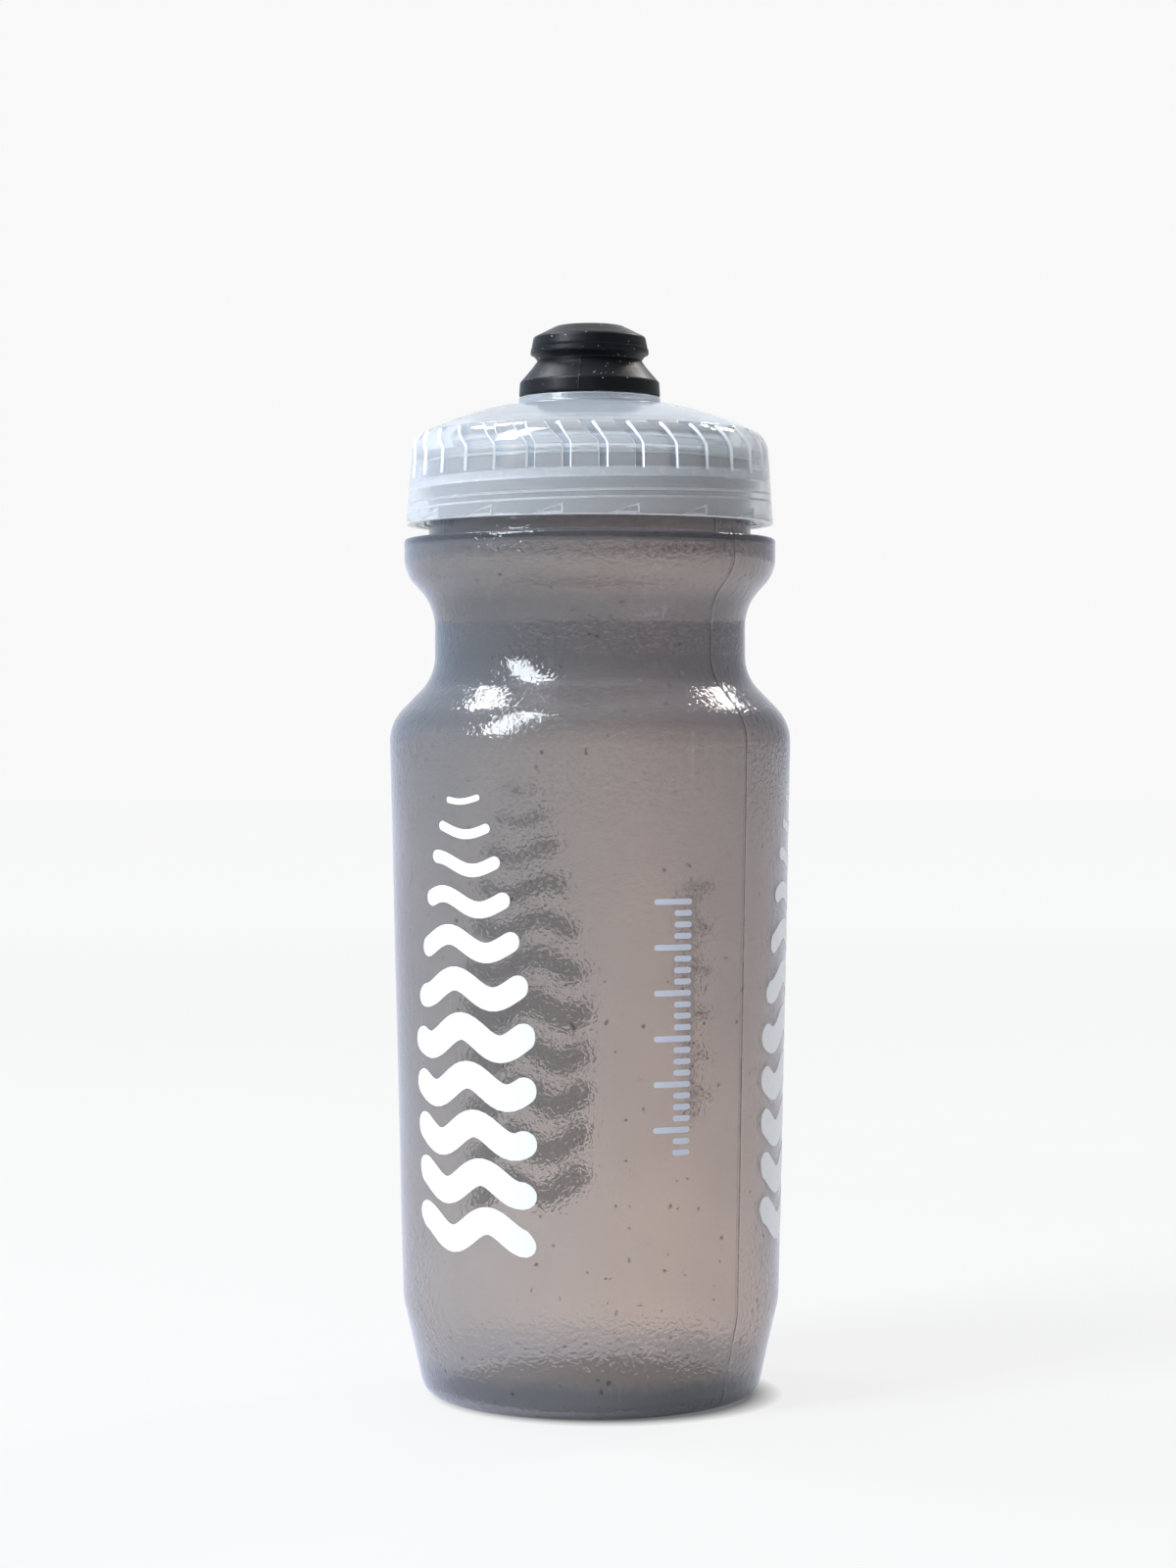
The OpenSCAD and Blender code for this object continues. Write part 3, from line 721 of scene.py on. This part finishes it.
class Graph:
    """A short way to write a node tree. A value may be a number or a node's output."""

    def __init__(self, tree, space):
        self.tree = tree
        self.place = self.node("ShaderNodeTexCoord").outputs[space]
        axes = self.node("ShaderNodeSeparateXYZ")
        self.link(self.place, axes.inputs["Vector"])
        self.x, self.y, self.z = (axes.outputs[axis] for axis in "XYZ")

    def node(self, kind, **values):
        """A new node with those properties."""
        made = self.tree.nodes.new(kind)
        for key, value in values.items():
            setattr(made, key, value)
        return made

    def link(self, source, target):
        self.tree.links.new(source, target)

    def noise(self, scale, detail=2.0, rough=0.5, stretch=(1, 1, 1)):
        """Noise in the object's own space; scale is in waves per metre."""
        mapping = self.node("ShaderNodeMapping")
        mapping.inputs["Scale"].default_value = stretch
        self.link(self.place, mapping.inputs["Vector"])
        made = self.node("ShaderNodeTexNoise")
        for key, value in (("Scale", scale), ("Detail", detail), ("Roughness", rough)):
            made.inputs[key].default_value = value
        self.link(mapping.outputs["Vector"], made.inputs["Vector"])
        return made.outputs["Fac"]

    def ramp(self, value, low, high, out_low, out_high, **values):
        """value from low..high to out_low..out_high, held at both ends."""
        made = self.node("ShaderNodeMapRange", clamp=True, **values)
        for key, number in zip(("From Min", "From Max", "To Min", "To Max"),
                               (low, high, out_low, out_high)):
            made.inputs[key].default_value = number
        self.link(value, made.inputs["Value"])
        return made.outputs["Result"]

    def colours(self, value, first, second):
        """A colour between two, by value; each may be a plain colour or a node's."""
        made = self.node("ShaderNodeMix", data_type="RGBA")
        for colour, socket in ((first, made.inputs["A"]), (second, made.inputs["B"])):
            if isinstance(colour, tuple):
                socket.default_value = (*colour, 1)
            else:
                self.link(colour, socket)
        self.link(value, made.inputs["Factor"])
        return made.outputs["Result"]

    def maths(self, operation, a, b, **values):
        """The result of a Math node."""
        made = self.node("ShaderNodeMath", operation=operation, **values)
        for value, socket in zip((a, b), made.inputs):
            if isinstance(value, (int, float)):
                socket.default_value = value
            else:
                self.link(value, socket)
        return made.outputs["Value"]

    def plus(self, a, b):
        return self.maths("ADD", a, b)

    def times(self, a, b):
        return self.maths("MULTIPLY", a, b)


class Finish(Graph):
    """The node tree of a new material."""

    def __init__(self, name):
        self.material = bpy.data.materials.new(name)
        self.material.use_nodes = True
        super().__init__(self.material.node_tree, "Object")
        self.shader = self.tree.nodes["Principled BSDF"]

    def set(self, **values):
        """Plain values on the shader's own sockets."""
        for key, value in values.items():
            self.shader.inputs[key.replace("_", " ")].default_value = value

    def drive(self, socket, value):
        """Links a value that varies over the surface to a socket of the shader."""
        self.link(value, self.shader.inputs[socket])

    def absorb(self, colour, density):
        """Absorption inside the solid; density is per metre."""
        volume = self.node("ShaderNodeVolumeAbsorption")
        volume.inputs["Color"].default_value = (*colour, 1)
        volume.inputs["Density"].default_value = density
        self.link(volume.outputs["Volume"], self.tree.nodes["Material Output"].inputs["Volume"])

    def bump(self, height, depth, strength=1.0):
        """Bump of that depth in metres."""
        made = self.node("ShaderNodeBump")
        made.inputs["Strength"].default_value = strength
        made.inputs["Distance"].default_value = depth
        self.link(height, made.inputs["Height"])
        self.drive("Normal", made.outputs["Normal"])


def seam_line(m):
    """1 on the two lines where the halves of the bottle's mould meet, 0 elsewhere."""
    side = m.node("ShaderNodeVectorMath", operation="DOT_PRODUCT")
    m.link(m.place, side.inputs[0])
    side.inputs[1].default_value = (-sin(SEAM_AZIMUTHS[0]), cos(SEAM_AZIMUTHS[0]), 0)
    away = m.maths("ABSOLUTE", side.outputs["Value"], 0)
    return m.ramp(away, 0.00006, 0.0002, 1, 0)


def wall_thickness_and_painted_light(m):
    """How dark the bottle's wall is, from 0 to about 1. By height, as a thinner or thicker
    wall looks: thin in the belly, thicker over the shoulder, in the waist and at the ring. Low on
    the belly it is lighter, partly a thinner wall and partly painted light; towards the right it
    is darker, as painted shade."""
    # lighter low on the belly: partly a thinner wall, partly painted light shining through from
    # behind
    belly = m.plus(m.ramp(m.z, 0.02, 0.05, 0, 0.24), m.ramp(m.z, 0.05, 0.12, 0, 0.26))
    shoulder = m.ramp(m.z, 0.1222, 0.1242, 0, 0.24)
    waist = m.plus(m.ramp(m.z, 0.130, 0.132, 0, 0.19), m.ramp(m.z, 0.1416, 0.143, 0, -0.08))
    ring = m.plus(m.ramp(m.z, 0.1462, 0.1500, 0, -0.38), m.ramp(m.z, 0.1562, 0.1572, 0, 0.6))
    neck = m.ramp(m.z, 0.1578, 0.1586, 0, -0.5)
    # painted shade: the wall darkens towards the right, the side away from the key lamp
    side = m.ramp(m.x, 0.015, 0.034, 0, 0.1)
    return m.plus(m.plus(m.plus(belly, shoulder), m.plus(waist, side)), m.plus(ring, neck))


def heavy_heel(m):
    """1 on the thick heel, 0 above it, with an uneven, grainy edge."""
    uneven = m.ramp(m.noise(45, 1), 0.3, 0.7, -HEEL_EDGE, HEEL_EDGE)
    grain = m.ramp(m.noise(1100, 2), 0.3, 0.7, -HEEL_EDGE, HEEL_EDGE)
    return m.ramp(m.plus(m.z, m.plus(uneven, grain)), *HEEL_FADE, 1, 0)


SMOKE = (0.46, 0.48, 0.56), 400              # absorption inside the bottle's plastic
# Each wall tint is a pair, left and right: the warmer, lighter right is painted light, the glow of
# the warm lamp behind shining through.
THIN_WALL_LIT = (0.84, 0.795, 0.765), (0.975, 0.85, 0.765)        # left and right in the photo
THICK_WALL_LIT = (0.39, 0.405, 0.425), (0.45, 0.425, 0.425)
# The heel's tint is darker partly for its thick plastic and partly as painted shade under the base;
# the second colour is painted shade on its right, away from the key lamp.
HEEL_TINT_AND_SHADE, HEEL_PAINTED_SHADE = (0.6, 0.62, 0.68), (0.25, 0.25, 0.27)
HEEL_FADE, HEEL_EDGE = (0.005, 0.008), 0.001
SEAM_TINT, DUST_TINT, PIT_TINT = (0.12, 0.12, 0.13), (0.9, 0.9, 0.92), (0.1, 0.09, 0.09)


def wall_colour(m, haze):
    """The clean wall's colour: by thickness, with painted light by side (warmer and lighter on
    the right), and darker on the heel, partly its thick plastic and partly painted shade.
    """
    heel = heavy_heel(m)
    thick = m.plus(wall_thickness_and_painted_light(m), m.ramp(haze, 0.3, 0.7, -0.07, 0.09))
    # painted light: the wall turns warmer and lighter towards the right, bluer on the left
    across = m.ramp(m.x, -0.025, 0.01, 0, 1)
    colour = m.colours(thick, m.colours(across, *THIN_WALL_LIT), m.colours(across, *THICK_WALL_LIT))
    # the heel: darker partly for its thick plastic, partly as painted shade under the base
    colour = m.colours(heel, colour, HEEL_TINT_AND_SHADE)
    # painted shade: the heel darkens further towards the right
    painted_heel_shade = m.times(m.ramp(m.x, 0.0, 0.025, 0, 0.7), heel)
    return m.colours(painted_heel_shade, colour, HEEL_PAINTED_SHADE)


def wall_marks(m, haze, colour):
    """The colour with the parting line, scratches, settled dust and small dark pits."""
    colour = m.colours(m.times(seam_line(m), 0.6), colour, SEAM_TINT)
    scratch = m.times(m.ramp(m.noise(1300, 0, 0.5, (1, 1, 0.03)), 0.77, 0.8, 0, 1),
                      m.ramp(haze, 0.45, 0.6, 0, 1))
    dust = m.maths("MAXIMUM", m.ramp(m.noise(1250, 0), 0.83, 0.85, 0, 1), scratch)
    colour = m.colours(m.times(dust, 0.6), colour, DUST_TINT)
    return m.colours(m.ramp(m.noise(820, 0), 0.16, 0.19, 0.8, 0), colour, PIT_TINT)


def wall_relief(m):
    """Height of the orange peel, which is calmer over the belly."""
    peel = m.plus(m.times(m.noise(1000, 1), 0.8), m.ramp(m.noise(1200, 1), 0.5, 0.78, 0, 1))
    calm = m.plus(m.ramp(m.z, 0.02, 0.035, 1, 0.5), m.ramp(m.z, 0.105, 0.12, 0, 0.5))
    return m.times(peel, calm)


def bottle_plastic():
    """Smoke-grey translucent polyethylene: orange peel, drag marks, scratches and dust."""
    m = Finish("bottle_ldpe")
    m.set(IOR=1.5, Transmission_Weight=0.9, Specular_IOR_Level=0.5,
          Sheen_Weight=0.4, Sheen_Roughness=0.35, Sheen_Tint=(0.5, 0.6, 1.0, 1))
    haze = m.noise(26, 3)
    drag = m.noise(900, 3, 0.6, (1, 1, 0.05))
    m.drive("Base Color", wall_marks(m, haze, wall_colour(m, haze)))
    m.drive("Roughness", m.plus(m.ramp(drag, 0.5, 0.75, 0.06, 0.1),
                                m.ramp(haze, 0.3, 0.7, 0, 0.02)))
    m.bump(wall_relief(m), 0.00004)
    m.absorb(*SMOKE)
    return m.material


def base_plastic():
    """The same plastic in the heavy plate of the base, dark and nearly opaque: partly its thick
    plastic, partly painted shade under the base.
    """
    m = Finish("bottle_base")
    m.set(IOR=1.5, Transmission_Weight=0.2, Specular_IOR_Level=0.1)
    # painted shade: the plate darkens towards the right, away from the key lamp
    across = m.ramp(m.x, -0.005, 0.025, 0, 1)
    cloud = m.ramp(m.noise(90, 3), 0.3, 0.7, 0, 0.3)
    colour = m.colours(across, (0.17, 0.175, 0.22), (0.13, 0.13, 0.15))
    m.drive("Base Color", m.colours(cloud, colour, (0.1, 0.1, 0.12)))
    m.drive("Roughness", m.ramp(m.noise(300, 3), 0.3, 0.7, 0.45, 0.55))
    m.bump(m.noise(1000, 1), 0.00003)
    m.absorb(*SMOKE)
    return m.material


def cap_plastic(name, dark, light):
    """Clear polypropylene, glossy on the skirt between two tints, and bluer and frosted
    over the dome."""
    m = Finish(name)
    m.set(IOR=1.49, Transmission_Weight=0.8,
          Sheen_Weight=0.3, Sheen_Roughness=0.4, Sheen_Tint=(0.8, 0.88, 1, 1))
    skirt = m.colours(m.ramp(m.noise(60, 3), 0.35, 0.65, 0, 1), dark, light)
    on_dome = m.ramp(m.z, 0.1765, 0.179, 0, 1)
    frost = m.ramp(m.z, 0.1777, 0.1785, 0, 0.12)
    m.drive("Base Color", m.colours(on_dome, skirt, (0.77, 0.825, 0.89)))
    m.drive("Roughness", m.plus(m.ramp(m.noise(300, 3), 0.3, 0.7, 0.05, 0.1), frost))
    m.bump(m.noise(1500, 2), 0.000005)
    return m.material


def cap_edge_highlight_plastic():
    """The same plastic, whiter and almost opaque, on the cap's thick and sharp places: a painted
    highlight for the bright lines that clear plastic catches there.
    """
    m = Finish("cap_edge_highlights")
    m.set(IOR=1.49, Transmission_Weight=0.08)
    cloud = m.ramp(m.noise(500, 3), 0.35, 0.65, 0, 1)
    m.drive("Base Color", m.colours(cloud, (0.9, 0.93, 0.97), (0.96, 0.98, 1.0)))
    m.drive("Roughness", m.ramp(m.noise(700, 2), 0.3, 0.7, 0.15, 0.3))
    m.bump(m.noise(1500, 2), 0.00001)
    return m.material


def ink_material(name, colour):
    """Printed ink, slightly mottled and matt."""
    m = Finish(name)
    m.set(IOR=1.45)
    worn = m.ramp(m.noise(900, 4, 0.7), 0.3, 0.7, 0, 1)
    m.drive("Base Color", m.colours(worn, colour, tuple(c * 0.93 for c in colour)))
    m.drive("Roughness", m.ramp(m.noise(500, 2), 0.3, 0.7, 0.38, 0.55))
    m.bump(m.noise(1400, 2), 0.00002, 0.4)
    return m.material


def rubber_material(name, dark, light, specks=True):
    """Soft black elastomer: fine grain, a bloom of lighter haze and settled dust."""
    m = Finish(name)
    m.set(IOR=1.45, Specular_IOR_Level=0.26,
          Sheen_Weight=0.1, Sheen_Roughness=0.3, Sheen_Tint=(0.55, 0.72, 1.0, 1))
    bloom = m.ramp(m.noise(180, 4, 0.6), 0.35, 0.75, 0, 1)
    colour = m.colours(bloom, dark, light)
    if specks:
        dust = m.ramp(m.noise(1700, 1), 0.745, 0.77, 0, 1)
        colour = m.colours(dust, colour, (0.5, 0.5, 0.52))
    m.drive("Base Color", colour)
    m.drive("Roughness", m.ramp(bloom, 0, 1, 0.36, 0.5))
    m.bump(m.plus(m.noise(2600, 2), m.times(m.noise(500, 2), 0.6)), 0.00005, 0.5)
    return m.material


def plain_plastic(name, colour, roughness):
    """Opaque moulded plastic or silicone of the inner pieces."""
    m = Finish(name)
    m.set(IOR=1.48)
    cloud = m.ramp(m.noise(220, 3), 0.35, 0.65, 0, 1)
    m.drive("Base Color", m.colours(cloud, colour, tuple(c * 0.9 for c in colour)))
    m.drive("Roughness", m.ramp(cloud, 0, 1, roughness, roughness + 0.1))
    m.bump(m.noise(1800, 2), 0.00003, 0.4)
    return m.material


# ---- stage ----

STAGE_WHITE = 0.945
DIM_SIDE, GREY_SIDE = 0.25, 0.4              # brightness in front and on the right
BLUE_SIDE = (0.7, 0.83, 1.0)                 # tint of the left
LAMPS_AIM = (0, 0, 0.11)
FLOOR_HALF, FLOOR_TONE = 6000, 0.09
FLOOR_NEAR, FLOOR_FAR = 0.0575, -0.023       # evens out the lamps' light on the floor
# a shadow painted into the floor's glow under the bottle: its darkest share and how far its middle
# is moved
CONTACT_SHADE, CONTACT_SHIFT = 0.2, (3.0, -1.5, 0)   # where the bottle shades the floor


def stage_material():
    """White paper lit evenly from all round: most of its light is its own, and a shadow is
    painted into that glow under the bottle.
    """
    m = Finish("pale_floor")
    cloud = m.ramp(m.noise(30, 3), 0.3, 0.7, 0, 1)
    m.drive("Base Color", m.colours(cloud, (FLOOR_TONE,) * 3, (FLOOR_TONE * 0.98,) * 3))
    m.set(Roughness=0.9, Specular_IOR_Level=0.0, Emission_Color=(1, 1, 1, 1))
    distance = m.node("ShaderNodeVectorMath", operation="LENGTH")
    m.link(m.place, distance.inputs[0])
    glow = STAGE_WHITE * (1 - FLOOR_TONE)
    open_floor = m.ramp(distance.outputs["Value"], 0.3, 1.7,
                        glow - FLOOR_NEAR, glow - FLOOR_FAR)
    # painted shadow: the floor's glow is dimmed under the bottle's base, moved to the right and
    # forward
    shifted = m.node("ShaderNodeVectorMath", operation="DISTANCE")
    m.link(m.place, shifted.inputs[0])
    shifted.inputs[1].default_value = [shift * MM for shift in CONTACT_SHIFT]
    shade = m.ramp(shifted.outputs["Value"], (FOOT_R - 1) * MM, (FOOT_R + 5) * MM,
                   CONTACT_SHADE, 1)
    m.drive("Emission Strength", m.times(open_floor, shade))
    return m.material


def make_stage():
    """A pale floor, white surroundings and soft boxes."""
    corners = [(x * FLOOR_HALF, y * FLOOR_HALF, 0) for x, y in ((-1, -1), (1, -1), (1, 1), (-1, 1))]
    floor = make_object("floor", corners, [[0, 1, 2, 3]])
    floor.data.materials.append(stage_material())
    world = bpy.data.worlds.new("studio")
    world.use_nodes = True
    light_studio(world.node_tree)
    bpy.context.scene.world = world
    bpy.context.scene.view_settings.view_transform = "Standard"
    soft_box("key_light", (-0.64, -0.435, 0.76), (0.28, 0.9), 14, (0.9, 0.95, 1.0))
    soft_box("left_back_light", (-0.46, 0.31, 0.96), (0.25, 0.25), 3, (0.97, 0.98, 1.0))
    soft_box("right_back_light", (0.5, 0.535, 0.81), (0.16, 0.25), 3, (1.0, 0.96, 0.9))


def light_studio(tree):
    """White all round for the eye, but the object is lit and mirrored as in a studio that
    is white behind, bluish on the left, greyer on the right and dim in front."""
    g = Graph(tree, "Generated")
    soft = {"interpolation_type": "SMOOTHSTEP"}
    depth = g.ramp(g.y, -0.95, 0.0, DIM_SIDE, STAGE_WHITE, **soft)
    right = g.ramp(g.x, 0.1, 0.65, 1, GREY_SIDE, **soft)
    left = g.ramp(g.x, -0.7, -0.1, 1, 0, **soft)
    seen = g.node("ShaderNodeLightPath").outputs["Is Camera Ray"]
    brightness = g.node("ShaderNodeMix")
    g.link(seen, brightness.inputs["Factor"])
    g.link(g.times(depth, right), brightness.inputs["A"])
    brightness.inputs["B"].default_value = STAGE_WHITE
    tint = g.colours(g.maths("SUBTRACT", left, seen, use_clamp=True), (1, 1, 1), BLUE_SIDE)
    background = tree.nodes["Background"]
    g.link(tint, background.inputs["Color"])
    g.link(brightness.outputs["Result"], background.inputs["Strength"])


def soft_box(name, place, size, power, colour):
    """A rectangular lamp that faces the upper half of the bottle."""
    data = bpy.data.lights.new(name, "AREA")
    data.shape = "RECTANGLE"
    data.size, data.size_y = size
    data.energy, data.color = power, colour
    lamp = bpy.data.objects.new(name, data)
    bpy.context.scene.collection.objects.link(lamp)
    lamp.location = place
    aim = np.array(LAMPS_AIM) - np.array(place)
    lamp.rotation_mode = "QUATERNION"
    lamp.rotation_quaternion = Vector(aim).to_track_quat("-Z", "Y")


def make_camera():
    """At the photographer's place: 0.65 m away, a little over the middle of the bottle."""
    side, distance, height, pitch, roll = -0.0004, 0.65, 0.122, 0.014, 0.0016
    sensor, lens_share = 36, 2.234375            # the lens' length over the sensor's width
    data = bpy.data.cameras.new("camera")
    data.sensor_width, data.lens = sensor, sensor * lens_share
    camera = bpy.data.objects.new("camera", data)
    camera.location = (side, -distance, height)
    camera.rotation_euler = (math.pi / 2 - pitch, roll, 0)
    bpy.context.scene.collection.objects.link(camera)
    bpy.context.scene.camera = camera


# ---- the object ----

def dress(obj, material):
    obj.data.materials.clear()
    obj.data.materials.append(material)


def add_piece(obj, body, material, slot_name, *nodes):
    """A finished piece: its material, the body it rides on, the nodes it replaces. slot_name is not
    used.
    """
    dress(obj, material)
    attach(obj, body)
    if nodes:
        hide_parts(*nodes)


make_camera()
make_stage()

# The bottle, cap and nozzle are replaced by finer pieces, and the print is added.
bottle = bottle_body()
add_piece(bottle, "bottle", bottle_plastic(), "bottle_ldpe", "bottle_body")
darken_base(bottle, base_plastic())
screw_cap = cap_shell()
add_piece(screw_cap, "cap", cap_plastic("cap_frosted", (0.9, 0.94, 0.985), (0.93, 0.96, 0.995)),
          "cap_frosted", "cap_shell")
# Painted highlight: the cap's edges get whiter, almost opaque plastic.
paint_highlights_and_shade(screw_cap, cap_edge_highlight_plastic(),
             # painted shade: a darker, bluer tint of the same plastic for the notches' floors
             cap_plastic("cap_notch_shade", (0.68, 0.76, 0.86), (0.74, 0.81, 0.9)))
add_piece(nozzle_sleeve(), "nozzle",
          rubber_material("nozzle_rubber", (0.0015, 0.002, 0.0035), (0.005, 0.006, 0.009)),
          "nozzle_rubber", "nozzle_sleeve")
white_ink = ink_material("white_ink", (0.8, 0.83, 0.88))
grey_ink = ink_material("grey_ink", (0.62, 0.67, 0.8))
for i in range(PRINT_COUNT):
    add_piece(wave_figure(i), "bottle", white_ink, "bottle_ldpe")
    add_piece(volume_scale(i), "bottle", grey_ink, "bottle_ldpe")

# The inner pieces stay as the frame has them, with a material each.
nodes = frame["nodes"]
dress(nodes["cap_seal"], plain_plastic("seal_silicone", (0.8, 0.8, 0.78), 0.45))
dress(nodes["spout_o_ring"],
      rubber_material("ring_rubber", (0.01, 0.01, 0.01), (0.02, 0.02, 0.02), specks=False))
core_plastic = plain_plastic("core_plastic", (0.6, 0.63, 0.68), 0.35)
dress(nodes["nozzle_core"], core_plastic)
dress(nodes["valve_retainer"], core_plastic)
dress(nodes["slit_valve"],
      rubber_material("valve_silicone", (0.02, 0.02, 0.022), (0.035, 0.035, 0.04), specks=False))
